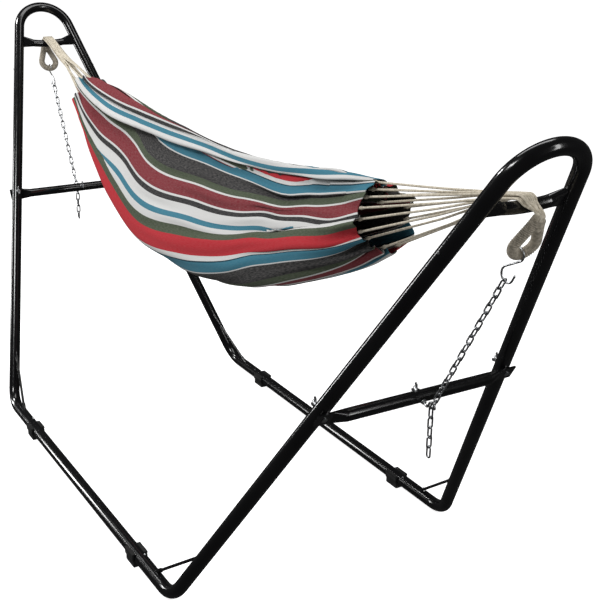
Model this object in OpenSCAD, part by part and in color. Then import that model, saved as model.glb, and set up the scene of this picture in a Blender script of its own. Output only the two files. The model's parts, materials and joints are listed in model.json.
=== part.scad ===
// Striped fabric hammock with rope ends, hung by chains on a tubular steel stand.
// Frame: X along the stand, Y across it, Z up, origin on the floor under its centre.

/* [Stand] */
// Half the distance between the base corners, along the stand
half_length = 710; // [690:5:730]
// Half the distance between the two base rails
half_width = 465; // [455:1:475]
// Outward lean of each end frame from the vertical, in degrees
frame_lean = 31.3; // [30:0.1:33]
// Angle between each leg and the middle line of its end frame, in degrees
leg_angle = 13.44; // [13:0.02:14]
// Centre-line radius of the arch at the top of an end frame
arch_r = 107; // [100:1:115]
// Centre-line radius of the bend at each base corner
corner_r = 100; // [80:5:115]

/* [Tubes] */
// Outside diameter of the frame tubes
tube_od = 38; // [36:0.5:40]
// Wall thickness of the frame tubes
tube_wall = 1.5; // [1.2:0.1:1.6]
// Where a base rail meets a leg tube, from the middle of the stand
joint_x = 470; // [450:5:490]
// Where a leg tube meets the arch, measured along the leg from the base corner
leg_len = 1342; // [1300:2:1380]
// Length of the narrowed tube end that slides into the next tube
plug_len = 60; // [45:5:60]

/* [Crossbars] */
// Outside diameter of the lower crossbar
bar_od = 32; // [28:1:34]
// Height of the lower crossbar, up the slope of the end frame
bar_w = 811; // [790:1:830]
// Height of the saddle bar, up the slope of the end frame
saddle_w = 1430; // [1420:1:1440]
// Diameter of the saddle bar in its middle
saddle_od = 28; // [24:1:30]
// How far the middle of the saddle bar lies below its ends
saddle_sag = 14; // [10:1:18]

/* [Chain] */
// Wire diameter of a chain link
link_wire = 4.5; // [4:0.1:5]
// Distance from one link to the next
link_pitch = 26; // [25:0.1:27]
// Outside width of a link
link_w = 17; // [16.5:0.1:18]
// Number of links between the S-hook and the crossbar hook
span_links = 17; // [17:2:17]
// Number of spare links that hang from the crossbar hook
tail_links = 5; // [3:1:6]

/* [Hammock] */
// Number of suspension cords at each end
cord_count = 14; // [10:2:14]
// Diameter of one suspension cord
cord_d = 5.4; // [4:0.1:5.6]
// Thickness of the fabric shell
cloth_t = 3; // [2:0.5:4]
// Thickness of the whipped rope of the end loop
rope_d = 24; // [22:1:24]

/* [Hidden] */
$fn = 48;
hull_fn = 32;

frame_black = [0.06, 0.06, 0.065];
plastic_black = [0.1, 0.1, 0.1];
zinc = [0.75, 0.76, 0.78];
rope_cream = [0.82, 0.78, 0.68];
cloth_red = [0.75, 0.2, 0.25];

gap = 0.3;
tube_r = tube_od / 2;
bore_r = tube_r - tube_wall;
plug_r = bore_r - gap;
pad_h = 10;
rail_z = tube_r + pad_h;
// The leg seen from the end of the stand, and its tilt out of the bend's plane
leg_roll = atan(tan(leg_angle) / cos(frame_lean));
leg_tilt = asin(sin(frame_lean) * cos(leg_angle));
corner_turn = 90 - leg_tilt;
corner_len = corner_r * tan(corner_turn / 2);
stub_len = half_length - joint_x - corner_len;
// The arch's centre above the base, and where the arch starts along the leg
arch_w = (half_width * cos(leg_angle) - arch_r) / sin(leg_angle);
arch_start = (arch_w + arch_r * sin(leg_angle)) / cos(leg_angle);

// Snap buttons
button_r = 3.5;
button_hole_r = 3.8;
button_in = 34;
button_proud = 3;
button_base = 14.2;
button_tilt = 25;

// Bolts and wing nuts of the crossbars
bolt_r = 3;
bolt_hole_r = 3.3;
washer_t = 1.2;
washer_r = 8;
nut_h = 7;
flat_t = 5;
flat_h = 42;
flat_end = 292;
flat_start = 250;
round_end = 212;
flat_off = tube_r + 0.2 + flat_t / 2;
bar_off = tube_r + 6;
bar_r = bar_od / 2;
bar_leg_y = half_width - bar_w * tan(leg_angle);

// Hook bolt: stem and crook, in distances from the end frame's plane
stem_off = 59;
stem_bend = 5;
crook_r = 11;
crook_w = 16;
crook_off = stem_off + crook_r;
crook_tip = 25;

// Suspension: middle of the whipped loop's lowest strand, and the crook's top
strand_x = 1450;
strand_z = 1120 + rail_z;
strand_r = rope_d / 2;
loop_r = 29;
neck_w = 95;
crook_top_w = crook_w + crook_r;
crook_x = half_length + sin(frame_lean) * (bar_w + crook_top_w) + cos(frame_lean) * crook_off;
crook_z = rail_z + cos(frame_lean) * (bar_w + crook_top_w) - sin(frame_lean) * crook_off;
chain_len = norm([strand_x - crook_x, strand_z - crook_z]);
chain_tilt = atan2(strand_x - crook_x, strand_z - crook_z);
link_half = (link_pitch + gap + link_wire) / 2;
hook_clear = 16;
hook_wire = 5;
hook_low_r = 18.5;
hook_top_r = strand_r + hook_wire / 2 + 0.5;
chain_top = chain_len - (span_links - 1) * link_pitch - link_half + hook_clear;
hook_drop = chain_top - link_half + (hook_wire + link_wire) / 2 + gap - hook_low_r;
hook_angle = asin((hook_low_r + hook_top_r) / hook_drop);

// Saddle bar and the cords that cross it
saddle_r = saddle_od / 2;
saddle_x = half_length + sin(frame_lean) * saddle_w;
saddle_z = rail_z + cos(frame_lean) * saddle_w;
cord_pitch = 5.9;
layer_pitch = 7.4;
// The band lies in two layers: the belly's cords below, the hems' cords on top
hem_cords = floor(cord_count / 4);
belly_cords = cord_count - 2 * hem_cords;
cord_x = saddle_x - 30;
cord_z = saddle_z + saddle_r + 8;

// The cloth: places along X, each with the heights of its hems and of its belly, and the
// half-width its section would have if the mouth were not drawn in
cloth_x = [-1000, -940, -860, -700, -480, -200, 100, 400, 660, 880, 985];
cloth_top = [1183, 1185, 1186, 1176, 1161, 1138, 1130, 1142, 1166, 1189, 1192];
cloth_low = [1050, 975, 880, 762, 702, 672, 696, 760, 850, 955, 1018];
cloth_half = [107, 112, 122, 137, 157, 191, 210, 202, 187, 165, 150];
// Width of the mouth between the hems, as a share of that full width
mouth = 0.15;
wall_steps = 14;

// ---- Placing ----
module side(s) {
  if (s < 0) mirror([1, 0, 0]) children();
  else children();
}

// Plane of an end frame: X points out of the stand, Y across, Z up the slope
module end_frame(s) {
  side(s) translate([half_length, 0, rail_z]) rotate([0, frame_lean, 0]) children();
}

// Line of a leg: Z runs up the leg from the base corner
module leg_line(s, t) {
  end_frame(s) translate([0, t * half_width, 0]) rotate([t * leg_angle, 0, 0]) children();
}

// Plane of a corner bend: X along the base rail, Z up
module corner_plane(s, t) {
  side(s) translate([half_length, t * half_width, rail_z]) rotate([t * leg_roll, 0, 0]) children();
}

// Line of the chain: the origin is the lowest strand of the loop, Z points up the chain
module chain_line(s) {
  side(s) translate([strand_x, 0, strand_z]) rotate([0, chain_tilt, 0]) children();
}

// Radial place of a rail button and of an arch button: Z points out of the tube
module rail_button_place(s, t) {
  side(s) translate([joint_x + button_in, t * half_width, rail_z])
    rotate([t * button_tilt, 0, 0]) children();
}

module arch_button_place(s, t) {
  leg_line(s, t) translate([0, 0, leg_len + button_in / 2]) rotate([-t * 90, 0, 0]) children();
}

// An arc of round bar in the XZ plane, from angle a over the angle sweep
module arc_bar(r, bar, a, sweep) {
  rotate([90, 0, 0]) rotate([0, 0, a]) rotate_extrude(angle = sweep) translate([r, 0]) circle(bar);
}

// A short band that joins a straight stretch of tube to a bent one
module seam(r) {
  cylinder(h = 1, r = r + 0.03, center = true);
}

// A straight round bar between two points
module bar_between(p, q, r) {
  d = q - p;
  translate(p) rotate([0, acos(d[2] / norm(d)), atan2(d[1], d[0])]) cylinder(h = norm(d), r = r);
}

// ---- Frame tubes ----
module base_rail(t) {
  plug_x = joint_x + plug_len;
  color(frame_black) translate([0, t * half_width, rail_z]) difference() {
    rotate([0, 90, 0]) union() {
      cylinder(h = 2 * joint_x, r = tube_r, center = true);
      cylinder(h = 2 * plug_x, r = plug_r, center = true);
    }
    rotate([0, 90, 0]) cylinder(h = 2 * plug_x + 2, r = plug_r - tube_wall, center = true);
    for (s = [-1, 1]) translate([s * (joint_x + button_in), 0, 0]) rotate([t * button_tilt, 0, 0])
      cylinder(h = tube_od, r = button_hole_r);
  }
}

// A leg tube's path from the rail joint, round the corner and up to the arch joint
module leg_path(s, t, r, over) {
  corner_plane(s, t) {
    translate([-corner_len - stub_len + gap - over, 0, 0]) rotate([0, 90, 0])
      cylinder(h = stub_len - gap + over, r = r);
    translate([-corner_len, 0, corner_r]) arc_bar(corner_r, r, -90, corner_turn);
    translate([-corner_len, 0, 0]) rotate([0, 90, 0]) seam(r);
  }
  leg_line(s, t) translate([0, 0, corner_len]) {
    cylinder(h = leg_len - corner_len - 3 * over, r = r);
    seam(r);
  }
}

module leg(s, t) {
  color(frame_black) difference() {
    union() {
      leg_path(s, t, tube_r, 0);
      leg_line(s, t) translate([0, 0, leg_len - 5]) cylinder(h = plug_len + 5, r = plug_r);
    }
    leg_path(s, t, bore_r, 1);
    leg_line(s, t) translate([0, 0, leg_len - 10])
      cylinder(h = plug_len + 12, r = plug_r - tube_wall);
    rail_button_place(s, t) cylinder(h = tube_od, r = button_hole_r);
    arch_button_place(s, t) cylinder(h = tube_od, r = button_hole_r);
    leg_line(s, t) translate([0, 0, bar_w / cos(leg_angle)]) rotate([0, 90, 0])
      cylinder(h = 2 * tube_od, r = bolt_hole_r, center = true);
  }
}

module arch_path(s, r, over) {
  end_frame(s) translate([0, 0, arch_w]) rotate([0, 0, 90])
    arc_bar(arch_r, r, leg_angle, 180 - 2 * leg_angle);
  for (t = [-1, 1]) leg_line(s, t) {
    translate([0, 0, leg_len + gap - over]) cylinder(h = arch_start - leg_len - gap + over, r = r);
    translate([0, 0, arch_start]) seam(r);
  }
}

module arch(s) {
  color(frame_black) difference() {
    arch_path(s, tube_r, 0);
    arch_path(s, bore_r, 1);
    for (t = [-1, 1]) arch_button_place(s, t) cylinder(h = tube_od, r = button_hole_r);
  }
}

// ---- Bars between the tubes ----
module corner_brace(s, t) {
  brace_r = 4.5;
  collar_r = 6.5;
  foot_x = -133;
  leg_at = 221;
  low = [foot_x, 0, 0];
  high = leg_at * [sin(leg_tilt), 0, cos(leg_tilt)];
  dir = (high - low) / norm(high - low);
  color(frame_black) difference() {
    corner_plane(s, t) {
      bar_between(low, high, brace_r);
      bar_between(low, low + 52 * dir, collar_r);
      bar_between(high - 46 * dir, high, collar_r);
    }
    leg_path(s, t, tube_r + 0.1, 20);
  }
}

module saddle(s) {
  reach = 62;
  end_y = 104;
  end_h = 45;
  end_t = 11;
  bend_r = (pow(end_y, 2) + pow(saddle_sag, 2)) / (2 * saddle_sag);
  half_turn = asin(reach / bend_r);
  color(frame_black) difference() {
    end_frame(s) translate([0, 0, saddle_w]) {
      translate([0, 0, bend_r]) rotate([0, 0, 90])
        arc_bar(bend_r, saddle_r, -90 - half_turn, 2 * half_turn);
      for (t = [-1, 1]) hull() {
        translate([0, 0, bend_r]) rotate([t * half_turn, 0, 0]) translate([0, 0, -bend_r])
          rotate([90, 0, 0]) cylinder(h = 0.5, r = saddle_r, center = true, $fn = hull_fn);
        translate([0, t * end_y, saddle_sag]) cube([end_t, 0.5, end_h], center = true);
      }
    }
    for (t = [-1, 1]) leg_line(s, t) cylinder(h = 2 * leg_len, r = tube_r + 0.1);
  }
}

module crossbar(s) {
  color(frame_black) difference() {
    end_frame(s) translate([0, 0, bar_w]) {
      translate([bar_off, 0, 0]) rotate([90, 0, 0])
        cylinder(h = 2 * round_end, r = bar_r, center = true);
      for (t = [-1, 1]) {
        hull() {
          translate([bar_off, t * round_end, 0]) rotate([90, 0, 0])
            cylinder(h = 1, r = bar_r, center = true, $fn = hull_fn);
          translate([flat_off, t * flat_start, 0]) cube([flat_t, 1, flat_h], center = true);
        }
        translate([flat_off, t * (flat_start + flat_end) / 2, 0])
          cube([flat_t, flat_end - flat_start, flat_h], center = true);
      }
    }
    end_frame(s) translate([bar_off, 0, bar_w]) rotate([90, 0, 0])
      cylinder(h = 2 * round_end - 10, r = bar_r - tube_wall, center = true);
    for (y = [-bar_leg_y, 0, bar_leg_y]) end_frame(s) translate([0, y, bar_w]) rotate([0, 90, 0])
      cylinder(h = 3 * tube_od, r = bolt_hole_r);
  }
}

// ---- Feet ----
module foot(s, t) {
  foot_len = 56;
  clip_r = 24;
  pad_w = 40;
  lip = 7;
  color(plastic_black) side(s) translate([joint_x - 12, t * half_width, rail_z])
    difference() {
      union() {
        rotate([0, 90, 0]) cylinder(h = foot_len, r = clip_r, center = true);
        translate([0, 0, -rail_z / 2]) cube([foot_len, pad_w, rail_z], center = true);
        for (y = [-1, 1]) translate([0, y * (clip_r - 3), 11]) cube([foot_len, lip, 6], center = true);
      }
      rotate([0, 90, 0]) cylinder(h = 2 * foot_len, r = tube_r + 0.1, center = true);
      translate([0, 0, 14 + clip_r]) cube([2 * foot_len, 4 * clip_r, 2 * clip_r], center = true);
      translate([0, 0, -rail_z - clip_r]) cube([2 * foot_len, 4 * clip_r, 2 * clip_r], center = true);
    }
}

// ---- Bolts, nuts and buttons ----
module crossbar_bolt() {
  head_off = tube_r + 0.2 + flat_t + 0.1;
  rotate([0, 90, 0]) {
    translate([0, 0, -tube_r - 15]) cylinder(h = tube_r + 15 + head_off, r = bolt_r);
    translate([0, 0, head_off]) cylinder(h = 2, r = 7.5);
    translate([0, 0, head_off + 2]) cylinder(h = 2, r1 = 7.5, r2 = 4);
  }
}

module crossbar_bolts(s) {
  color(zinc) for (y = [-bar_leg_y, bar_leg_y])
    end_frame(s) translate([0, y, bar_w]) crossbar_bolt();
}

module washer() {
  rotate([0, 90, 0]) difference() {
    cylinder(h = washer_t, r = washer_r);
    translate([0, 0, -1]) cylinder(h = washer_t + 2, r = bolt_hole_r);
  }
}

module bolt_washers() {
  color(zinc) for (s = [-1, 1], y = [-bar_leg_y, bar_leg_y])
    end_frame(s) translate([-tube_r - washer_t - 0.1, y, bar_w]) washer();
}

module hook_washers() {
  color(zinc) for (s = [-1, 1]) {
    end_frame(s) translate([bar_off - bar_r - washer_t - 0.1, 0, bar_w]) washer();
    end_frame(s) translate([bar_off + bar_r + 0.1, 0, bar_w]) washer();
    end_frame(s) translate([bar_off + bar_r + 0.2 + washer_t, 0, bar_w]) rotate([0, 90, 0])
      difference() {
        cylinder(h = 5, r = 6, $fn = 6);
        translate([0, 0, -1]) cylinder(h = 7, r = bolt_r + 0.05);
      }
  }
}

// A wing nut whose seat faces +X
module wing_nut() {
  wing_t = 2.4;
  rotate([0, -90, 0]) difference() {
    union() {
      cylinder(h = nut_h, r1 = 6, r2 = 5);
      for (a = [0, 180]) rotate([0, 0, a]) rotate([90, 0, 0])
        translate([0, 0, -wing_t / 2]) linear_extrude(wing_t) union() {
          polygon([[4, 1], [6, 0.5], [15, 7], [15, 14], [9, 14], [4, 6]]);
          translate([12, 11]) circle(4);
        }
    }
    translate([0, 0, -1]) cylinder(h = nut_h + 20, r = bolt_r + 0.05);
  }
}

module leg_wing_nut(s, t) {
  color(zinc) end_frame(s) translate([-tube_r - washer_t - 0.4, t * bar_leg_y, bar_w]) wing_nut();
}

module hook_wing_nut(s) {
  color(zinc) end_frame(s)
    translate([bar_off - bar_r - washer_t - 0.4, 0, bar_w]) wing_nut();
}

// Bolt through the crossbar whose outer end is bent up into an open crook
module hook_bolt(s) {
  tip_off = bar_off - bar_r - 14;
  color(zinc) end_frame(s) translate([0, 0, bar_w]) union() {
    translate([tip_off, 0, 0]) rotate([0, 90, 0])
      cylinder(h = stem_off - stem_bend - tip_off, r = bolt_r);
    translate([stem_off - stem_bend, 0, stem_bend]) arc_bar(stem_bend, bolt_r, -90, 90);
    translate([stem_off - stem_bend, 0, 0]) sphere(bolt_r + 0.03);
    translate([stem_off, 0, stem_bend]) cylinder(h = crook_w - stem_bend, r = bolt_r);
    translate([stem_off, 0, stem_bend]) sphere(bolt_r + 0.03);
    translate([stem_off, 0, crook_w]) sphere(bolt_r + 0.03);
    translate([crook_off, 0, crook_w]) arc_bar(crook_r, bolt_r, crook_tip, 180 - crook_tip);
    translate([crook_off, 0, crook_w]) rotate([0, -crook_tip, 0]) translate([crook_r, 0, 0])
      sphere(bolt_r + 0.03);
  }
}

module button_shape() {
  color(zinc) {
    translate([0, 0, button_base]) cylinder(h = tube_r - button_base + 1, r = button_r);
    translate([0, 0, tube_r + 1]) cylinder(h = button_proud - 1, r1 = button_r, r2 = button_r - 1.5);
    translate([0, 0, button_base - 1.4]) cylinder(h = 1.5, r = 5.2);
  }
}

// Leaf spring under a button: a foot on the far wall and an arm up to the button
module button_spring() {
  leaf_w = 6;
  leaf_t = 0.8;
  rotate([90, 0, 0]) translate([0, 0, -leaf_w / 2]) linear_extrude(leaf_w)
    polygon([[-26, -14], [4, -14], [4, -14 + leaf_t], [-24, -14 + leaf_t],
             [4, 7 - leaf_t], [4, 7], [-26, -14 + leaf_t]]);
}

module button_springs() {
  color(zinc) for (s = [-1, 1], t = [-1, 1]) {
    rail_button_place(s, t) button_spring();
    arch_button_place(s, t) rotate([0, 0, 90]) button_spring();
  }
}

// ---- Chains and hooks ----
// One link in the XZ plane, its length along Z
module link() {
  bow_r = (link_w - link_wire) / 2;
  straight = link_half - bow_r;
  for (z = [-1, 1]) translate([0, 0, z * straight])
    arc_bar(bow_r, link_wire / 2, z > 0 ? 0 : 180, 180);
  for (x = [-1, 1]) translate([x * bow_r, 0, -straight])
    cylinder(h = 2 * straight, r = link_wire / 2);
}

module chain(s) {
  color(zinc) chain_line(s) for (i = [0 : span_links - 1])
    translate([0, 0, -chain_top - i * link_pitch]) rotate([0, 0, i % 2 == 0 ? 90 : 0]) link();
}

module chain_tail(s) {
  pivot_x = crook_x - hook_clear * sin(chain_tilt);
  pivot_z = crook_z - hook_clear * cos(chain_tilt);
  color(zinc) side(s) for (i = [0 : tail_links - 1])
    translate([pivot_x, 0, pivot_z + link_wire + gap - link_half - i * link_pitch])
      rotate([0, 0, i % 2 == 0 ? 0 : 90]) link();
}

module s_hook(s) {
  bar = hook_wire / 2;
  rise = sqrt(pow(hook_drop, 2) - pow(hook_low_r + hook_top_r, 2));
  tip = 13;
  start = [-hook_low_r * cos(hook_angle), 0, -hook_drop + hook_low_r * sin(hook_angle)];
  color(zinc) chain_line(s) {
    translate([0, 0, -hook_drop]) arc_bar(hook_low_r, bar, 180 - hook_angle, 180 + hook_angle);
    translate([hook_low_r, 0, -hook_drop]) cylinder(h = tip, r = bar);
    translate([hook_low_r, 0, -hook_drop]) sphere(bar + 0.03);
    translate([hook_low_r, 0, -hook_drop + tip]) sphere(bar + 0.03);
    translate(start) sphere(bar + 0.03);
    translate(start) rotate([0, hook_angle, 0]) cylinder(h = rise, r = bar);
    rotate([0, hook_angle, 0]) translate([hook_top_r, 0, 0]) sphere(bar + 0.03);
    arc_bar(hook_top_r, bar, -hook_angle, 195 + hook_angle);
  }
}

// ---- Rope ends ----
module whipped_loop(s) {
  foot_w = 8;
  color(rope_cream) chain_line(s) {
    translate([0, 0, loop_r]) rotate([0, 0, 90]) arc_bar(loop_r, strand_r, 180, 180);
    for (y = [-1, 1])
      bar_between([0, y * loop_r, loop_r], [0, y * foot_w, neck_w - 8], strand_r - 1);
    translate([0, 0, neck_w - 16]) cylinder(h = 16, r = strand_r + 2);
  }
}

// The flat band of cords over the saddle bar, gathered down to the neck of the loop
module saddle_wrap(s) {
  band_w = belly_cords * cord_pitch;
  band_t = layer_pitch + cord_d;
  top_z = cord_z;
  out_x = saddle_x + 42;
  color(rope_cream) side(s) {
    translate([cord_x + gap, -band_w / 2, top_z - band_t / 2])
      cube([saddle_x - cord_x + 12, band_w, band_t]);
    hull() {
      translate([saddle_x + 12, -band_w / 2, top_z - band_t / 2]) cube([0.5, band_w, band_t]);
      translate([out_x - 4, 0, top_z - 12]) rotate([0, 60, 0])
        scale([0.7, 1.2, 1]) cylinder(h = 0.5, r = strand_r, center = true, $fn = hull_fn);
    }
    hull() {
      translate([out_x - 4, 0, top_z - 12]) rotate([0, 60, 0])
        scale([0.7, 1.2, 1]) cylinder(h = 0.5, r = strand_r, center = true, $fn = hull_fn);
      translate([strand_x, 0, strand_z]) rotate([0, chain_tilt, 0])
        translate([0, 0, neck_w + gap]) cylinder(h = 0.5, r = strand_r + 2, $fn = hull_fn);
    }
  }
}

// ---- Cloth and suspension cords ----
// Point of the drop-shaped section number i, at angle a and a distance t inside its outline
function section_point(i, a, t) =
  let (deep = cloth_top[i] - cloth_low[i], wide = mouth + (1 - mouth) * abs(sin(a)))
  [cloth_x[i], (cloth_half[i] * wide - t) * cos(a), cloth_top[i] + (deep - t) * sin(a)];

function wall_angle(k) = -180 + 180 * k / wall_steps;

function cloth_ring(i) = concat(
  [for (k = [0 : wall_steps]) section_point(i, wall_angle(k), 0)],
  [for (k = [wall_steps : -1 : 0]) section_point(i, wall_angle(k), cloth_t)]);

module hammock_cloth() {
  stations = len(cloth_x);
  ring = 2 * (wall_steps + 1);
  points = [for (i = [0 : stations - 1]) each cloth_ring(i)];
  sides = [for (i = [0 : stations - 2], k = [0 : ring - 1])
    let (n = (k + 1) % ring, a = i * ring, b = a + ring)
    each [[a + k, b + k, b + n], [a + k, b + n, a + n]]];
  end_a = [for (k = [0 : wall_steps - 1])
    each [[k, k + 1, ring - 1 - k], [k + 1, ring - 2 - k, ring - 1 - k]]];
  last = (stations - 1) * ring;
  end_b = [for (f = end_a) [last + f[2], last + f[1], last + f[0]]];
  color(cloth_red) polyhedron(points, concat(sides, end_a, end_b));
}

// Where cord j crosses the saddle bar
function band_y(j) =
  j < hem_cords ? -(j + 0.5) * cord_pitch
  : j >= cord_count - hem_cords ? (cord_count - j - 0.5) * cord_pitch
  : (j - (cord_count - 1) / 2) * cord_pitch;

function band_z(j) =
  cord_z + (j < hem_cords || j >= cord_count - hem_cords ? 0.5 : -0.5) * layer_pitch;

// Straight stretch of every cord, from the edge of the cloth to the saddle bar
module cords(s, i) {
  end_gap = 2.2;
  color(rope_cream) for (j = [0 : cord_count - 1]) {
    p = section_point(i, wall_angle((j + 0.5) * wall_steps / cord_count), cord_d);
    q = [s * (cord_x - end_gap), band_y(j), band_z(j)];
    bar_between(p + [s * end_gap, 0, 0], q, cord_d / 2);
  }
}

base_rail(-1);  // near_base_rail
base_rail(1);  // far_base_rail
foot(-1, -1);  // near_left_foot
foot(1, -1);  // near_right_foot
foot(-1, 1);  // far_left_foot
foot(1, 1);  // far_right_foot
leg(-1, -1);  // near_left_leg
leg(1, -1);  // near_right_leg
leg(-1, 1);  // far_left_leg
leg(1, 1);  // far_right_leg
corner_brace(-1, -1);  // near_left_brace
corner_brace(1, -1);  // near_right_brace
corner_brace(-1, 1);  // far_left_brace
corner_brace(1, 1);  // far_right_brace
arch(-1);  // left_arch
arch(1);  // right_arch
saddle(-1);  // left_saddle
saddle(1);  // right_saddle
crossbar(-1);  // left_crossbar
crossbar(1);  // right_crossbar
crossbar_bolts(-1);  // left_crossbar_bolts
crossbar_bolts(1);  // right_crossbar_bolts
bolt_washers();
leg_wing_nut(-1, -1);  // near_left_wing_nut
leg_wing_nut(1, -1);  // near_right_wing_nut
leg_wing_nut(-1, 1);  // far_left_wing_nut
leg_wing_nut(1, 1);  // far_right_wing_nut
hook_wing_nut(-1);  // left_hook_wing_nut
hook_wing_nut(1);  // right_hook_wing_nut
hook_bolt(-1);  // left_hook_bolt
hook_bolt(1);  // right_hook_bolt
hook_washers();
rail_button_place(-1, -1) button_shape();  // near_left_rail_button
rail_button_place(1, -1) button_shape();  // near_right_rail_button
rail_button_place(-1, 1) button_shape();  // far_left_rail_button
rail_button_place(1, 1) button_shape();  // far_right_rail_button
arch_button_place(-1, -1) button_shape();  // near_left_arch_button
arch_button_place(1, -1) button_shape();  // near_right_arch_button
arch_button_place(-1, 1) button_shape();  // far_left_arch_button
arch_button_place(1, 1) button_shape();  // far_right_arch_button
button_springs();
chain(-1);  // left_chain
chain(1);  // right_chain
chain_tail(-1);  // left_chain_tail
chain_tail(1);  // right_chain_tail
s_hook(-1);  // left_s_hook
s_hook(1);  // right_s_hook
whipped_loop(-1);  // left_whipped_loop
whipped_loop(1);  // right_whipped_loop
saddle_wrap(-1);  // left_saddle_wrap
saddle_wrap(1);  // right_saddle_wrap
cords(-1, 0);  // left_cords
cords(1, len(cloth_x) - 1);  // right_cords
hammock_cloth();
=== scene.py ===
"""Looks of the striped hammock and its tube stand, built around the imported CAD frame."""
import json
import math

import bpy
import numpy as np
from mathutils import Matrix, Vector


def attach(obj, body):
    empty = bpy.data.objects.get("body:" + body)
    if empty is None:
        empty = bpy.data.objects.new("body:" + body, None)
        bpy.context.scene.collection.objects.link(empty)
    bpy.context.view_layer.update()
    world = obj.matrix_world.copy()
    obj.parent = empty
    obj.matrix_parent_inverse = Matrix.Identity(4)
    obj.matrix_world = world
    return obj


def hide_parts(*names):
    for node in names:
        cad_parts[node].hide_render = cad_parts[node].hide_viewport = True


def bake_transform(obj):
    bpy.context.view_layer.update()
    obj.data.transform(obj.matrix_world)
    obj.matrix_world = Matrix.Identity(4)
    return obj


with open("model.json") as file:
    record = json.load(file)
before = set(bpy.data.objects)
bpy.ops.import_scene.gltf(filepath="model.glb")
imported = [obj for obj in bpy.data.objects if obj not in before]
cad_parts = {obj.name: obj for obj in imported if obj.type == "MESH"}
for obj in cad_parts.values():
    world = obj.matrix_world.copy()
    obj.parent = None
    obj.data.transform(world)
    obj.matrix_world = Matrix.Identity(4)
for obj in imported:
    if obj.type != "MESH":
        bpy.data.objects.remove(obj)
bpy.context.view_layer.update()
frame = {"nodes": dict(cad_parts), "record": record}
nodes = frame["nodes"]

# ---- Camera, light and floor ----
CAMERA_AT = (3.054, -1.494, 1.823)
CAMERA_AZIMUTH = math.radians(58.78)
CAMERA_PITCH = math.radians(20.0)
CAMERA_ROLL = math.radians(0.93)
LENS_MM = 65.875
WORLD_LIGHT = 0.34
WORLD_GLOSS = 0.03


def add_camera():
    data = bpy.data.cameras.new("camera")
    data.lens = LENS_MM
    data.sensor_width = 36
    data.clip_end = 60
    cam = bpy.data.objects.new("camera", data)
    forward = Vector((-math.sin(CAMERA_AZIMUTH) * math.cos(CAMERA_PITCH),
                      math.cos(CAMERA_AZIMUTH) * math.cos(CAMERA_PITCH),
                      -math.sin(CAMERA_PITCH)))
    level = forward.to_track_quat("-Z", "Y").to_matrix()
    cam.matrix_world = (Matrix.Translation(CAMERA_AT)
                        @ (level @ Matrix.Rotation(CAMERA_ROLL, 3, "Z")).to_4x4())
    bpy.context.scene.collection.objects.link(cam)
    bpy.context.scene.camera = cam


def area_light(name, at, towards, size, power):
    data = bpy.data.lights.new(name, "AREA")
    data.shape = "RECTANGLE"
    data.size, data.size_y = size
    data.energy = power
    lamp = bpy.data.objects.new(name, data)
    lamp.location = at
    lamp.rotation_mode = "QUATERNION"
    lamp.rotation_quaternion = (Vector(towards) - Vector(at)).to_track_quat("-Z", "Y")
    bpy.context.scene.collection.objects.link(lamp)
    return lamp


def add_lights():
    world = bpy.data.worlds.new("studio")
    world.use_nodes = True
    tree = world.node_tree
    back = tree.nodes["Background"]
    back.inputs["Color"].default_value = (1.0, 1.0, 1.0, 1)
    ray = tree.nodes.new("ShaderNodeLightPath")
    dim, seen = (tree.nodes.new("ShaderNodeMapRange") for _ in range(2))
    dim.inputs["To Min"].default_value = WORLD_LIGHT
    dim.inputs["To Max"].default_value = WORLD_GLOSS
    seen.inputs["To Max"].default_value = 1.0
    tree.links.new(ray.outputs["Is Glossy Ray"], dim.inputs["Value"])
    tree.links.new(ray.outputs["Is Camera Ray"], seen.inputs["Value"])
    tree.links.new(dim.outputs["Result"], seen.inputs["To Min"])
    tree.links.new(seen.outputs["Result"], back.inputs["Strength"])
    bpy.context.scene.world = world
    area_light("key", (0.6, -3.2, 4.0), (0, 0, 0.7), (1.6, 0.8), 80)
    area_light("fill", (4.2, 1.5, 2.4), (0, 0, 0.7), (0.5, 2.4), 30)
    area_light("low_left", (-3.2, -2.4, 0.95), (1.2, 0, 0.85), (0.35, 1.4), 30)
    area_light("left", (-2.6, -2.0, 3.2), (-1.1, 0, 1.1), (0.6, 0.6), 60)
    area_light("top", (-0.5, 0.5, 4.2), (0, 0, 0.8), (3.0, 1.0), 35)


def add_floor():
    reach = 60.0
    mesh = bpy.data.meshes.new("floor")
    ring = 64
    corners = [(reach * math.cos(2 * math.pi * k / ring),
                reach * math.sin(2 * math.pi * k / ring), 0) for k in range(ring)]
    mesh.from_pydata(corners, [], [list(range(ring))])
    floor = bpy.data.objects.new("floor", mesh)
    bpy.context.scene.collection.objects.link(floor)
    floor.visible_glossy = False
    floor.visible_diffuse = False
    return floor


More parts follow.
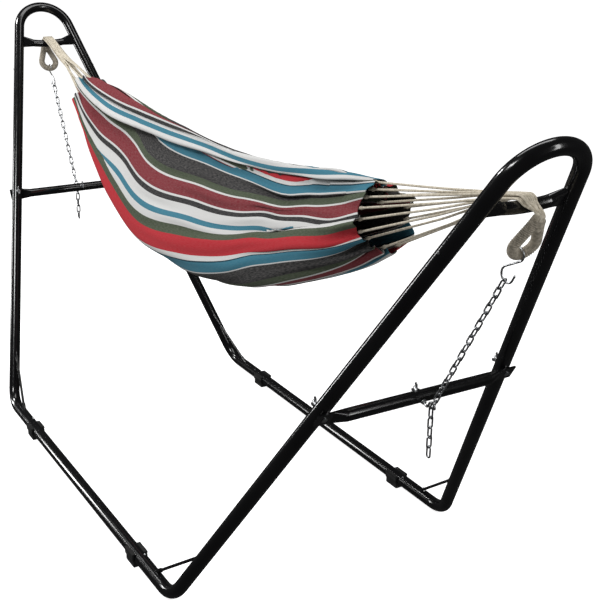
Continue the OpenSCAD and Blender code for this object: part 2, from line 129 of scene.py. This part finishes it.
# ---- Materials ----
class Shader:
    """A material under construction: node and link helpers around its Principled shader."""

    def __init__(self, name, **values):
        self.material = bpy.data.materials.new(name)
        self.material.use_nodes = True
        self.tree = self.material.node_tree
        self.base = self.tree.nodes["Principled BSDF"]
        for socket, value in values.items():
            self.base.inputs[socket.replace("_", " ")].default_value = value

    def node(self, kind, **settings):
        made = self.tree.nodes.new("ShaderNode" + kind)
        for key, value in settings.items():
            if key in made.inputs:
                made.inputs[key].default_value = value
            else:
                setattr(made, key, value)
        return made

    def link(self, source, target):
        self.tree.links.new(source, target)

    def math(self, operation, a, b):
        made = self.node("Math", operation=operation)
        for socket, value in zip(made.inputs, (a, b)):
            if isinstance(value, (int, float)):
                socket.default_value = value
            else:
                self.link(value, socket)
        return made.outputs[0]

    def noise(self, scale, detail=2.0, at=None):
        made = self.node("TexNoise", Scale=scale, Detail=detail)
        self.link(at or self.node("NewGeometry").outputs["Position"], made.inputs["Vector"])
        return made.outputs["Fac"]

    def ramp(self, source, stops, how="LINEAR"):
        made = self.node("ValToRGB")
        ramp = made.color_ramp
        ramp.interpolation = how
        while len(ramp.elements) < len(stops):
            ramp.elements.new(1.0)
        for element, (place, colour) in zip(ramp.elements, stops):
            element.position = place
            element.color = (*colour, 1) if len(colour) == 3 else colour
        self.link(source, made.inputs["Fac"])
        return made.outputs["Color"]

    def spread(self, source, low, high):
        made = self.node("MapRange")
        made.inputs["To Min"].default_value = low
        made.inputs["To Max"].default_value = high
        self.link(source, made.inputs["Value"])
        return made.outputs["Result"]

    def bump(self, height, strength, distance):
        made = self.node("Bump", Strength=strength, Distance=distance)
        self.link(height, made.inputs["Height"])
        self.link(made.outputs["Normal"], self.base.inputs["Normal"])

    def set(self, socket, source):
        self.link(source, self.base.inputs[socket])


def grey(value):
    return (value, value, value)


def black_paint():
    s = Shader("gloss_black_paint", Coat_Weight=0.5, Coat_Roughness=0.06)
    s.set("Base Color", s.ramp(s.noise(9), [(0.3, (0.0025, 0.0025, 0.003)), (0.7, (0.005, 0.005, 0.0055))]))
    s.set("Roughness", s.spread(s.noise(35, 4), 0.12, 0.26))
    s.bump(s.noise(260), 0.05, 0.0003)
    return s.material


def black_plastic():
    s = Shader("black_plastic")
    s.set("Base Color", s.ramp(s.noise(40), [(0.3, grey(0.012)), (0.7, grey(0.022))]))
    s.set("Roughness", s.spread(s.noise(90, 4), 0.38, 0.58))
    s.bump(s.noise(1400, 3), 0.35, 0.0003)
    return s.material


def zinc_plate():
    s = Shader("zinc_plate", Metallic=1.0)
    s.set("Base Color", s.ramp(s.noise(160, 4), [(0.3, (0.50, 0.52, 0.54)), (0.65, (0.74, 0.75, 0.76))]))
    s.set("Roughness", s.spread(s.noise(260, 4), 0.22, 0.42))
    s.bump(s.noise(900, 3), 0.15, 0.0002)
    return s.material


# The stripes that repeat across the cloth: width in millimetres, colour, share of pale flecks
WHITE = (.60, .60, .59)
STRIPES = (
    (49, (.185, .016, .024), .10), (7, WHITE, 0), (18, (.014, .016, .017), .10),
    (33, WHITE, 0), (18, (.036, .175, .245), .05), (20, WHITE, 0), (30, (.056, .076, .042), .09),
    (54, (.440, .018, .028), .04), (15, WHITE, 0), (5, (.010, .045, .065), 0),
    (34, (.032, .165, .235), .05), (4, WHITE, 0), (54, (.013, .015, .016), .16),
    (25, (.054, .074, .041), .09), (8, WHITE, 0))


# Sockets of a Mix node that mixes colours
MIX_FACTOR, MIX_FIRST, MIX_SECOND, MIX_RESULT = 0, 6, 7, 2


def striped_cotton():
    s = Shader("striped_cotton", Sheen_Weight=0.03, Sheen_Roughness=0.5)
    s.base.inputs["Specular IOR Level"].default_value = 0.15
    uv = s.node("UVMap", uv_map="weave").outputs["UV"]
    parts = s.node("SeparateXYZ")
    s.link(uv, parts.inputs["Vector"])
    repeat = sum(width for width, _, _ in STRIPES) / 1000
    place = s.math("FRACT", s.math("DIVIDE", parts.outputs["Y"], repeat), 0)
    colours, flecks, start = [], [], 0
    for width, colour, fleck in STRIPES:
        colours.append((start / (1000 * repeat), colour))
        flecks.append((start / (1000 * repeat), grey(fleck)))
        start += width
    colour = s.ramp(place, colours, "CONSTANT")
    fleck = s.ramp(place, flecks, "CONSTANT")
    stretch = s.node("Mapping")
    stretch.inputs["Scale"].default_value = (0.28, 1.6, 1)
    s.link(uv, stretch.inputs["Vector"])
    yarn = s.noise(240, 6, stretch.outputs["Vector"])
    worn = s.noise(14, 3, uv)
    mix = s.node("Mix", data_type="RGBA")
    mix.inputs[MIX_SECOND].default_value = (.62, .56, .54, 1)
    s.link(colour, mix.inputs[MIX_FIRST])
    amount = s.math("MULTIPLY", s.spread(yarn, -1.1, 1.9), fleck)
    amount.node.use_clamp = True
    s.link(amount, mix.inputs[MIX_FACTOR])
    # Painted shade: the stripe colour is multiplied by an ambient-occlusion darkening in the cloth's
    # creases and fold valleys, and by a soft random tone from the worn noise
    shade = s.node("Mix", data_type="RGBA", blend_type="MULTIPLY")
    shade.inputs[MIX_FACTOR].default_value = 1
    s.link(mix.outputs[MIX_RESULT], shade.inputs[MIX_FIRST])
    painted_crease_shade = s.node("AmbientOcclusion", samples=4, Distance=0.08)
    painted_shade_and_wear = s.math("MULTIPLY", s.spread(painted_crease_shade.outputs["AO"], -0.08, 1.2), s.spread(worn, 0.84, 1.05))
    painted_shade_and_wear.node.use_clamp = True
    s.link(painted_shade_and_wear, shade.inputs[MIX_SECOND])
    s.set("Base Color", shade.outputs[MIX_RESULT])
    s.set("Roughness", s.spread(yarn, 0.82, 0.98))
    s.bump(s.noise(900, 2, stretch.outputs["Vector"]), 0.45, 0.0006)
    return s.material


def cotton_rope(name="cotton_rope", dark=(.42, .375, .29), light=(.68, .62, .51)):
    s = Shader(name, Sheen_Weight=0.05, Sheen_Roughness=0.5)
    s.base.inputs["Specular IOR Level"].default_value = 0.15
    s.set("Base Color", s.ramp(s.noise(140, 5), [(0.30, dark), (0.65, light)]))
    s.set("Roughness", s.spread(s.noise(300, 3), 0.85, 1.0))
    s.bump(s.noise(1500, 3), 0.6, 0.0006)
    return s.material


# ---- Shared shapes ----
def smooth_curve(places, values, x):
    """Monotone cubic curve through the values, read at x."""
    places, values, x = (np.asarray(a, float) for a in (places, values, x))
    step = np.diff(places)
    slope = np.diff(values) / step
    before, after = slope[:-1], slope[1:]
    same = before * after > 0
    inner = np.where(same, 2 * before * after / np.where(same, before + after, 1), 0)
    turn = np.concatenate([slope[:1], inner, slope[-1:]])
    i = np.clip(np.searchsorted(places, x) - 1, 0, len(step) - 1)
    t = (x - places[i]) / step[i]
    return ((2 * t**3 - 3 * t**2 + 1) * values[i] + (t**3 - 2 * t**2 + t) * step[i] * turn[i]
            + (3 * t**2 - 2 * t**3) * values[i + 1] + (t**3 - t**2) * step[i] * turn[i + 1])


def mesh_piece(name, points, faces, finish):
    mesh = bpy.data.meshes.new(name)
    mesh.from_pydata(points.tolist(), [], faces.tolist() if hasattr(faces, "tolist") else faces)
    mesh.shade_smooth()
    mesh.materials.append(finish)
    piece = bpy.data.objects.new(name, mesh)
    bpy.context.scene.collection.objects.link(piece)
    return piece


def even_path(points, step):
    """A smooth path through the points, with a place at every step."""
    points = np.asarray(points, float)
    far = np.concatenate([[0], np.cumsum(np.linalg.norm(np.diff(points, axis=0), axis=1))])
    fine = np.linspace(0, far[-1], 40 * len(points))
    curve = np.stack([smooth_curve(far, points[:, k], fine) for k in range(3)], axis=1)
    run = np.concatenate([[0], np.cumsum(np.linalg.norm(np.diff(curve, axis=0), axis=1))])
    at = np.linspace(0, run[-1], max(8, int(run[-1] / step)))
    return np.stack([np.interp(at, run, curve[:, k]) for k in range(3)], axis=1), at


def tube(path, radius):
    """Points and faces of a closed tube; radius has one row for each place on the path."""
    count, around = radius.shape
    ahead = np.gradient(path, axis=0)
    ahead /= np.linalg.norm(ahead, axis=1)[:, None]
    across = np.zeros_like(path)
    side = np.cross(ahead[0], (0.3, 0.9, 0.31))
    for k in range(count):
        side = side - ahead[k] * side.dot(ahead[k])
        side /= np.linalg.norm(side)
        across[k] = side
    other = np.cross(ahead, across)
    angle = np.linspace(0, 2 * np.pi, around, endpoint=False)
    points = (path[:, None] + radius[:, :, None]
              * (np.cos(angle)[None, :, None] * across[:, None]
                 + np.sin(angle)[None, :, None] * other[:, None])).reshape(-1, 3)
    faces = []
    for k in range(count - 1):
        a, b = k * around, (k + 1) * around
        faces += [(a + j, a + (j + 1) % around, b + (j + 1) % around, b + j) for j in range(around)]
    faces += [tuple(reversed(range(around))), tuple(range((count - 1) * around, count * around))]
    return points, faces


# ---- Cloth ----
# Lengths are in metres. The lists have one value for each station, from the left ring to the
# right ring: a station's share of the length, the line of the hems, the line of the belly
# and half the section's width.
CLOTH_WIDTH = 1.5
CLOTH_LENGTH = 2.08
STATION = (0, .06, .14, .25, .40, .55, .70, .82, .92, 1)
TOP_X = (-.945, -.88, -.73, -.50, -.20, .11, .42, .66, .855, .963)
TOP_Z = (1.183, 1.187, 1.178, 1.162, 1.138, 1.130, 1.143, 1.166, 1.188, 1.194)
LOW_X = (-1.02, -.96, -.86, -.68, -.34, .05, .42, .69, .89, .992)
LOW_Z = (1.075, 1.00, .88, .755, .670, .690, .765, .862, .962, 1.035)
HALF = (.055, .060, .065, .075, .095, .112, .108, .100, .090, .080)
# 0 is a round ring, 1 is a drop-shaped section
DROP = (0, .35, .8, 1, 1, 1, 1, .8, .35, 0)
# Where the section's lowest line and its highest line lie on the cloth, from the near hem
BELLY = (.66, .66, .66, .67, .69, .745, .81, .86, .87, .87)
CREST = (0, 0, .005, .02, .045, .06, .078, .100, .110, .112)
# Folds of each side: (station, where the fold begins, where it ends), from that side's hem
NEAR_FOLDS = (
    ((0, .076, .104), (.50, .078, .104), (.70, .09, .09), (1, .09, .09)),
    ((0, .172, .345), (.12, .155, .350), (.20, .152, .345), (.28, .150, .315), (.35, .149, .272),
     (.44, .149, .253), (.52, .148, .245), (.62, .148, .238), (.76, .147, .218), (.84, .146, .243),
     (1, .146, .246)),
    ((0, .31, .31), (.62, .305, .305), (.74, .298, .330), (.84, .292, .338), (1, .290, .345)),
    ((0, .40, .40), (.66, .40, .40), (.74, .388, .415), (.84, .388, .408), (.92, .40, .40),
     (1, .40, .40)),
    ((0, .478, .552), (.14, .483, .542), (.28, .51, .51), (.53, .521, .521), (.62, .522, .532),
     (.74, .506, .528), (.83, .478, .522), (.92, .456, .520), (1, .450, .520)),
    ((0, .61, .61), (.66, .61, .61), (.76, .604, .622), (1, .603, .625)))
FAR_FOLDS = (
    ((0, .10, .20), (.3, .11, .16), (.5, .13, .13), (.7, .12, .15), (1, .10, .18)),
    ((0, .30, .46), (.3, .32, .43), (.6, .36, .40), (.8, .33, .42), (1, .30, .42)),
    ((0, .56, .66), (.25, .58, .64), (.5, .60, .62), (.75, .60, .60), (1, .58, .60)))
# How far the near side's middle stripes ride up (minus) or down, as a share of the section
SWAY = (-.03, -.03, -.04, -.04, -.05, -.08, -.07, .03, .11, .15)
# 1 where a fold's upper edge lies on top, -1 where its lower edge does
NEAR_LIPS = (1, 1, 1, 1, -1, 1)
FAR_LIPS = (1, 1, 1)
# Where the cords leave each end: the near side's, then the far side's, from that side's hem
CORDS_LEFT = ((.02, .09, .18, .31, .41, .515, .62), (.03, .14, .25, .36, .47, .58, .68))
CORDS_RIGHT = ((.13, .20, .317, .398, .490, .580, .67), (.03, .14, .25, .36, .46, .56, .66))
# The section: points along its side, the power that puts its widest place low, how far each hem
# stands off the middle and how many points wide it is softened
SECTION_POINTS = 241
LOW_BULGE = 1.35
HEM_OFFSET = .006
SECTION_BLUR = 1.8
# The gathers at the ends: how large each kind is, and how far from the end it reaches
PLEAT = 0.013
PLEAT_REACH = 0.17
SCALLOP = 0.017
SCALLOP_REACH = .035
RUFFLE = 0.005
RUFFLE_REACH = .07
RUFFLE_PITCH = .031
RUFFLE_BEAT = .19
RUFFLE_SHIFT = 5
# The far side's share of the gathers, and the width from the crest over which they begin
FAR_SHARE = .6
GATHER_START = .07
# The way out of the cloth at each end, as rise over run, and about the length of that vector
END_RISE = .36
END_LENGTH = 1.063
# The hems: how far they curl in, over what width, and how much they shrink near the ends
HEM_CURL = .012
HEM_CURL_WIDTH = .02
HEM_SHRINK = .6
HEM_SHRINK_REACH = .25
# How far the far side hangs lower near the left end and near the right end
FAR_DROOP = (.028, .012)
DROOP_REACH = .2
# The folds: how they lean in, and how much shallower they are near the ends
FOLD_LEAN = 1.0
FOLD_SHRINK = .55
FOLD_SHRINK_REACH = .10
# How far the cloth bulges over a fold, and over what width
FOLD_LIP = 0.010
FOLD_SOFT = 0.03
# A fold of this width has a lip of full size. Wider ones have more, up to this many times it,
# and below a fold the cloth is tucked in this much further than the lip stands out
LIP_WIDTH = .06
MOST_LIP = 2.6
TUCK = 1.3
# The settling of the cloth: how firmly it keeps its place, its spare length and its steps
GOAL = 0.4
SLACK = 0.012
SETTLE_FRAMES = 14
MOST_MOVE = 0.02
# The coarse copy that settles takes every second point of the cloth
COARSE_STEP = 2
# Creases of four kinds: how many cross a metre of cloth, and their height
CREASES = ((6, .0022), (11, .0018), (17, .0012), (27, .0007))
# How far the creases drift sideways
CREASE_DRIFT = 0.04
CLOTH_THICK = 0.0014
# How much closer the rows of points lie near the cloth's ends
END_CROWDING = 0.72


def fade(distance, reach):
    """1 at the end of the cloth, falling away over the reach."""
    return math.exp(-(distance / reach) ** 2)


def pleat_wave(w, marks):
    """0 at every cord and 1 between two cords."""
    marks = np.concatenate([[2 * marks[0] - marks[1]], marks, [2 * marks[-1] - marks[-2]]])
    k = np.clip(np.searchsorted(marks, w) - 1, 0, len(marks) - 2)
    return np.abs(np.sin(np.pi * (w - marks[k]) / (marks[k + 1] - marks[k])))


def softened(values, axis, width):
    """values blurred along one axis, over a width in places."""
    reach = int(4 * width)
    kernel = np.exp(-0.5 * (np.arange(-reach, reach + 1) / width) ** 2)
    kernel /= kernel.sum()
    edges = [(reach, reach) if k == axis else (0, 0) for k in range(values.ndim)]
    spare = np.moveaxis(np.pad(values, edges, mode="edge"), axis, 0)
    count = values.shape[axis]
    return np.moveaxis(sum(kernel[k] * spare[k:k + count] for k in range(len(kernel))), 0, axis)


def cloth_points(along, across, fold_depth=1):
    """Points of the cloth at shares along its length and at places across its width."""
    u = np.asarray(along)

    def at(values):
        return smooth_curve(STATION, values, u)

    top_x, top_z, low_x, low_z = at(TOP_X), at(TOP_Z), at(LOW_X), at(LOW_Z)
    half, drop, belly, crest = at(HALF), at(DROP), at(BELLY), at(CREST)
    sway = at(SWAY)
    s = np.linspace(0, 1, SECTION_POINTS)
    points = np.zeros((len(u), len(across), 3))
    folds_at = {side: [[smooth_curve([p[0] for p in fold], [p[k] for p in fold], u) for k in (1, 2)]
                       for fold in folds] for side, folds in ((-1, NEAR_FOLDS), (1, FAR_FOLDS))}
    for i in range(len(u)):
        top = np.array([top_x[i], 0, top_z[i]])
        down = np.array([low_x[i], 0, low_z[i]]) - top
        deep = np.linalg.norm(down)
        down /= deep
        y = half[i] * (drop[i] * np.sin(np.pi * s**LOW_BULGE) + (1 - drop[i]) * np.sin(np.pi * s))
        y += HEM_OFFSET * (1 - s)
        z = deep * (drop[i] * np.sin(np.pi / 2 * s) + (1 - drop[i]) * (1 - np.cos(np.pi * s)) / 2)
        arc = np.concatenate([[0], np.cumsum(np.hypot(np.diff(y), np.diff(z)))])
        slope_y, slope_z = np.gradient(y, arc), np.gradient(z, arc)
        from_end = min(u[i], 1 - u[i]) * CLOTH_LENGTH
        cords = CORDS_LEFT if u[i] < .5 else CORDS_RIGHT
        outward = np.array([-1 if u[i] < .5 else 1, 0, END_RISE]) / END_LENGTH
        for side in (-1, 1):
            mine = across <= belly[i] if side < 0 else across > belly[i]
            w = across[mine] if side < 0 else CLOTH_WIDTH - across[mine]
            end = belly[i] if side < 0 else CLOTH_WIDTH - belly[i]
            knots, rates, folds = [crest[i]], [], []
            for begin, stop in folds_at[side]:
                begin, stop = max(begin[i], knots[-1]), max(stop[i], knots[-1])
                folds.append((begin, stop))
                rates += [1, 0]
                knots += [begin, stop]
            rates.append(1)
            knots = np.array(knots + [end])
            run = np.concatenate([[0], np.cumsum(np.diff(knots) * rates)])
            place = np.interp(w, knots, run) / run[-1]
            if side < 0:
                place = place + sway[i] * np.sin(np.pi * place)
            place = place * arc[-1]
            slope_y_here = np.interp(place, arc, slope_y)
            slope_z_here = np.interp(place, arc, slope_z)
            depth = sum(np.clip(np.minimum(w - begin, stop - w), 0, None) for begin, stop in folds)
            lip = 0
            reach = fold_depth * (1 - FOLD_SHRINK * fade(from_end, FOLD_SHRINK_REACH))
            for over, (begin, stop) in zip(NEAR_LIPS if side < 0 else FAR_LIPS, folds):
                size = over * min(MOST_LIP, (stop - begin) / LIP_WIDTH)
                above, below = (begin - w) / FOLD_SOFT, (w - stop) / FOLD_SOFT
                lip = lip + size * FOLD_LIP * (np.exp(-np.maximum(above, 0)) * (above >= 0)
                                               - TUCK * np.exp(-np.maximum(below, 0)) * (below > 0))
            inward_y = -slope_z_here * math.cos(FOLD_LEAN) - slope_y_here * math.sin(FOLD_LEAN)
            inward_z = slope_y_here * math.cos(FOLD_LEAN) - slope_z_here * math.sin(FOLD_LEAN)
            hem = np.clip(crest[i] - w, 0, None)
            wave = pleat_wave(w, cords[0] if side < 0 else cords[1])
            share = 1 if side < 0 else FAR_SHARE
            rise = share * PLEAT * fade(from_end, PLEAT_REACH) * (2 * wave - 1)
            ruffle = (np.sin(2 * np.pi * w / RUFFLE_PITCH + RUFFLE_SHIFT * wave)
                      * np.sin(2 * np.pi * w / RUFFLE_BEAT + side))
            rise = rise + RUFFLE * fade(from_end, RUFFLE_REACH) * ruffle
            rise = rise * np.clip((w - crest[i]) / GATHER_START, 0, 1) + lip
            aside = np.interp(place, arc, y) + inward_y * depth * reach + slope_z_here * rise
            lower = np.interp(place, arc, z) + inward_z * depth * reach - slope_y_here * rise
            aside -= HEM_CURL * np.clip(hem / HEM_CURL_WIDTH, 0, 1)
            if side > 0:
                lower += FAR_DROOP[0 if u[i] < .5 else 1] * fade(from_end, DROOP_REACH)
            lower += hem * (1 - HEM_SHRINK * fade(from_end, HEM_SHRINK_REACH))
            pull = share * SCALLOP * fade(from_end, SCALLOP_REACH) * (2 * wave - 1)
            points[i, mine] = (top + np.outer(side * aside, (0, 1, 0)) + np.outer(lower, down)
                               + np.outer(pull, outward))
    return softened(points, 1, SECTION_BLUR)


def creases(u, v):
    """Small outward moves of the cloth: long soft creases that drift across its length."""
    spread = np.random.default_rng(5)
    move = np.zeros((len(u), len(v)))
    for waves, size in CREASES:
        for _ in range(3):
            phase, drift, beat = spread.uniform(0, 2 * np.pi, 3)
            bend = 0.5 * np.sin(2 * np.pi * u * spread.uniform(0.5, 1.6) + drift)
            swell = 0.55 + 0.45 * np.sin(2 * np.pi * u * spread.uniform(0.8, 2.4) + beat)
            turn = 2 * np.pi * waves * (v[None] + CREASE_DRIFT * bend[:, None])
            move += (size * swell)[:, None] * np.sin(turn + phase)
    return move


def settle(points):
    """How far the cloth moves when a coarse copy, pinned at its edges, sags and buckles."""
    rows, columns = (np.arange(0, count, COARSE_STEP) for count in points.shape[:2])
    coarse = points[np.ix_(rows, columns)]
    shape = coarse.shape[:2]
    corner = np.arange(shape[0] * shape[1]).reshape(shape)
    faces = np.stack([corner[:-1, :-1], corner[:-1, 1:], corner[1:, 1:], corner[1:, :-1]], axis=2)
    mesh = bpy.data.meshes.new("settling")
    mesh.from_pydata(coarse.reshape(-1, 3).tolist(), [], faces.reshape(-1, 4).tolist())
    trial = bpy.data.objects.new("settling", mesh)
    scene = bpy.context.scene
    scene.collection.objects.link(trial)
    hold = np.full(shape, GOAL)
    hold[[0, -1]] = 1
    hold[:, [0, -1]] = 1
    group = trial.vertex_groups.new(name="held")
    for weight in np.unique(hold):
        group.add(np.flatnonzero(hold.ravel() == weight).tolist(), float(weight), "REPLACE")
    cloth = trial.modifiers.new("cloth", "CLOTH")
    settings = cloth.settings
    settings.quality = 4
    settings.mass = 0.0006
    settings.tension_stiffness = settings.compression_stiffness = 12
    settings.shear_stiffness = 4
    settings.bending_stiffness = 0.2
    settings.vertex_group_mass = "held"
    settings.pin_stiffness = 1
    settings.shrink_min = -SLACK
    cloth.collision_settings.use_collision = False
    cloth.point_cache.frame_end = SETTLE_FRAMES
    for step in range(1, SETTLE_FRAMES + 1):
        scene.frame_set(step)
    settled = trial.evaluated_get(bpy.context.evaluated_depsgraph_get()).to_mesh()
    moved = np.empty(len(settled.vertices) * 3)
    settled.vertices.foreach_get("co", moved)
    scene.frame_set(1)
    bpy.data.objects.remove(trial)
    move = moved.reshape(coarse.shape) - coarse
    for axis, count in ((0, points.shape[0]), (1, points.shape[1])):
        old = np.linspace(0, count - 1, move.shape[axis])
        move = np.apply_along_axis(lambda line: np.interp(np.arange(count), old, line), axis, move)
    size = np.linalg.norm(move, axis=2)[:, :, None]
    move = move * np.minimum(1, MOST_MOVE / np.maximum(size, 1e-9))
    return softened(softened(move, 0, 5), 1, 1.5)


def make_cloth(finish):
    """The striped bed; gives back the points of its two ends and their places across it."""
    rows, columns = 190, 320
    t = np.linspace(0, 1, rows + 1)
    u = t - END_CROWDING * np.sin(2 * np.pi * t) / (2 * np.pi)
    v = np.linspace(0, CLOTH_WIDTH, columns + 1)
    points = cloth_points(u, v)
    normal = np.cross(np.gradient(points, axis=1), np.gradient(points, axis=0))
    normal /= np.linalg.norm(normal, axis=2)[:, :, None] + 1e-9
    points = points + normal * creases(u, v)[:, :, None]
    points = points + settle(points)
    corner = np.arange((rows + 1) * (columns + 1)).reshape(rows + 1, columns + 1)
    faces = np.stack([corner[:-1, :-1], corner[:-1, 1:], corner[1:, 1:], corner[1:, :-1]], axis=2)
    cloth = mesh_piece("cloth", points.reshape(-1, 3), faces.reshape(-1, 4), finish)
    uv = cloth.data.uv_layers.new(name="weave")
    index = np.empty(len(cloth.data.loops), int)
    cloth.data.loops.foreach_get("vertex_index", index)
    flat = np.stack([np.repeat(u * CLOTH_LENGTH, columns + 1), np.tile(v, rows + 1)], axis=1)
    uv.data.foreach_set("uv", flat[index].ravel())
    thick = cloth.modifiers.new("thickness", "SOLIDIFY")
    thick.thickness = CLOTH_THICK
    thick.offset = 0
    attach(cloth, "hammock")
    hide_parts("hammock_cloth")
    return cloth_points((0, 1), v, 0), v


# ---- Rope ends ----
SADDLE = (1.4529, 1.2509)
BAND_R = 0.022
CORD_PITCH = 0.0059
LAYER = 0.0074
CORD_R = 0.0029
STRAND = np.array((1.45, 0, 1.149))
CHAIN_TILT = math.radians(29.07)
UP_CHAIN = np.array((math.sin(CHAIN_TILT), 0, math.cos(CHAIN_TILT)))
ACROSS_CHAIN = np.array((math.cos(CHAIN_TILT), 0, -math.sin(CHAIN_TILT)))
NECK = 0.095
# How far from the saddle bar the left cords stay in one bundle, as a share of their length, how
# far the bundle is turned and how tight it is
GATHER = 0.36
BUNDLE_TURN = 0.9
BUNDLE_SHARE = 0.8
# Where a cord bends over the saddle bar: the angle, in degrees, and its share of the band's width
OVER_BAR = ((112, 1), (85, 1.04), (58, 1.0), (32, .82))
# The cords in the whipped neck: the turn from one to the next, how far out the inner and the
# outer ones lie, how far above the neck they meet it and how far on they end
NECK_TURN = 2.4
NECK_INNER = 0.0042
NECK_OUTER = 0.0088
NECK_ABOVE = .012
NECK_INSIDE = .022
# A cord at the cloth: how far inside the edge it is sewn, and its tail beyond that place
SEWN_IN = 0.004
SEWN_TAIL = 0.014
# How far the left and the right cords stray from a straight line
STRAY = (.002, .0016)
# A cord's mesh step and the length of one turn of its strands
CORD_STEP = 0.0026
CORD_LAY = 0.021
# The knot at the cloth: how far it is from the cord's hidden end, its length and its swell
KNOT_AT = 0.017
KNOT_LENGTH = 0.007
KNOT_SWELL = 0.72
LOOP_R = 0.029
# The whipping: the width of one wrap, its mesh step and the height of its ridge, then the
# radii of the eye's rope and of the neck, and how much the neck swells in the middle
WHIP_PITCH = 0.0044
WHIP_STEP = 0.0006
WHIP_RIDGE = .0020
EYE_R = .0098
NECK_R = .0122
NECK_SWELL = 0.06


def band_place(j):
    """Sideways place and layer of cord j of 14 where it crosses the saddle bar."""
    if j < 3:
        return -(j + .5) * CORD_PITCH, .5 * LAYER
    if j > 10:
        return (13.5 - j) * CORD_PITCH, .5 * LAYER
    return (j - 6.5) * CORD_PITCH, -.5 * LAYER


def make_cords(ends, v, finish):
    """The 14 cords of each end, from the cloth over the saddle bar into the whipped eye."""
    spread = np.random.default_rng(11)
    for side, name, marks in ((-1, "left", CORDS_LEFT), (1, "right", CORDS_RIGHT)):
        row = ends[0 if side < 0 else 1]
        centre = row.mean(axis=0)
        places = list(marks[0]) + [CLOTH_WIDTH - w for w in reversed(marks[1])]
        for j, place in enumerate(places):
            edge = np.array([np.interp(place, v, row[:, k]) for k in range(3)])
            inward = (centre - edge) / np.linalg.norm(centre - edge)
            edge = edge + SEWN_IN * inward
            y, layer = band_place(j)
            lift = BAND_R + layer
            over = [(SADDLE[0] + lift * math.cos(a), y * w, SADDLE[1] + lift * math.sin(a))
                    for a, w in ((math.radians(degrees), w) for degrees, w in OVER_BAR)]
            turn = NECK_TURN * j
            pack = NECK_INNER if j % 3 == 0 else NECK_OUTER
            neck = (STRAND + (NECK + NECK_ABOVE) * UP_CHAIN + pack * math.cos(turn) * ACROSS_CHAIN
                    + np.array((0, pack * math.sin(turn), 0)))
            inside = neck - NECK_INSIDE * UP_CHAIN
            over = [np.array((side * p[0], p[1], p[2])) for p in over]
            neck[0] *= side
            inside[0] *= side
            toward = over[0] - edge
            start = edge - SEWN_TAIL * toward / np.linalg.norm(toward)
            stops = [start, edge]
            if side < 0:
                line = over[0] - np.array((0, y, 0)) + (centre - over[0]) * GATHER
                line[1] = BUNDLE_SHARE * (y * math.cos(BUNDLE_TURN) - layer * math.sin(BUNDLE_TURN))
                line[2] += BUNDLE_SHARE * (y * math.sin(BUNDLE_TURN) + layer * math.cos(BUNDLE_TURN))
                stops += [edge + 0.55 * (line - edge) + spread.normal(0, STRAY[0], 3), line]
            else:
                stops.append(edge + 0.5 * toward + spread.normal(0, STRAY[1], 3))
            path, at = even_path(stops + over + [neck, inside], CORD_STEP)
            angle = np.linspace(0, 2 * np.pi, 12, endpoint=False)
            twist = 1.5 * (angle[None] - 2 * np.pi * at[:, None] / CORD_LAY)
            knot = 1 + KNOT_SWELL * np.exp(-((at - KNOT_AT) / KNOT_LENGTH) ** 2)
            radius = CORD_R * (0.84 + 0.2 * np.abs(np.cos(twist))) * knot[:, None]
            points, faces = tube(path, radius)
            cord = mesh_piece(f"{name}_cord_{j + 1}", points, faces, finish)
            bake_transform(cord)
            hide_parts(name + "_cords", name + "_saddle_wrap")


def make_loop(side, name, finish):
    """The whipped eye of one end: a drop-shaped loop and the binding round its neck."""
    angles = np.radians(np.linspace(180, 360, 13))
    bow = [(LOOP_R * math.cos(a), LOOP_R * (1 + math.sin(a))) for a in angles]
    drop = ([(-.006, NECK), (-.010, .082), (-.0225, .050)] + bow
            + [(.0225, .050), (.010, .082), (.006, NECK)])
    path, at = even_path([STRAND + up * UP_CHAIN + np.array((0, across, 0)) for across, up in drop],
                         WHIP_STEP)
    angle = np.linspace(0, 2 * np.pi, 28, endpoint=False)
    lay = np.pi * (at[:, None] / WHIP_PITCH - angle[None] / (2 * np.pi))
    parts = [(path, EYE_R + WHIP_RIDGE * np.abs(np.sin(lay)))]
    neck_path, at = even_path([STRAND + up * UP_CHAIN for up in (NECK - .020, NECK - .004, NECK + .006)],
                              WHIP_STEP)
    lay = np.pi * (at[:, None] / WHIP_PITCH - angle[None] / (2 * np.pi))
    swell = 1 + NECK_SWELL * np.sin(np.pi * at / at[-1])
    parts.append((neck_path, (NECK_R + WHIP_RIDGE * np.abs(np.sin(lay))) * swell[:, None]))
    points, faces = [], []
    for line, radius in parts:
        line = line * (side, 1, 1)
        found, made = tube(line, radius)
        offset = sum(len(p) for p in points)
        points.append(found)
        faces += [tuple(k + offset for k in face) for face in made]
    loop = mesh_piece(name + "_whipping", np.concatenate(points), faces, finish)
    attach(loop, "stand")
    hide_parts(name + "_whipped_loop")


FINISHES = {"black_paint": black_paint(), "black_plastic": black_plastic(), "zinc_plate": zinc_plate()}
SLOT_OF = {s["node"]: s["material_slot"] for s in frame["record"]["subparts"]}
for name, node in nodes.items():
    finish = FINISHES.get(SLOT_OF[name])
    if finish:
        node.data.materials.clear()
        node.data.materials.append(finish)

rope = cotton_rope()
# The whipping's rope is darker than the cords: partly its own darker khaki colour, partly painted shade of
# its wrapped grooves
whipping = cotton_rope("rope_whipping", (.25, .225, .18), (.48, .43, .35))
ends, across = make_cloth(striped_cotton())
make_cords(ends, across, rope)
for side, name in ((-1, "left"), (1, "right")):
    make_loop(side, name, whipping)

bpy.context.scene.view_settings.view_transform = "Standard"
add_camera()
add_lights()
floor = add_floor()
pale = Shader("pale_floor", Roughness=0.9, Emission_Color=(1, 1, 1, 1), Emission_Strength=0.75)
pale.set("Base Color", pale.ramp(pale.noise(3), [(0.3, grey(0.88)), (0.7, grey(0.90))]))
floor.data.materials.append(pale.material)
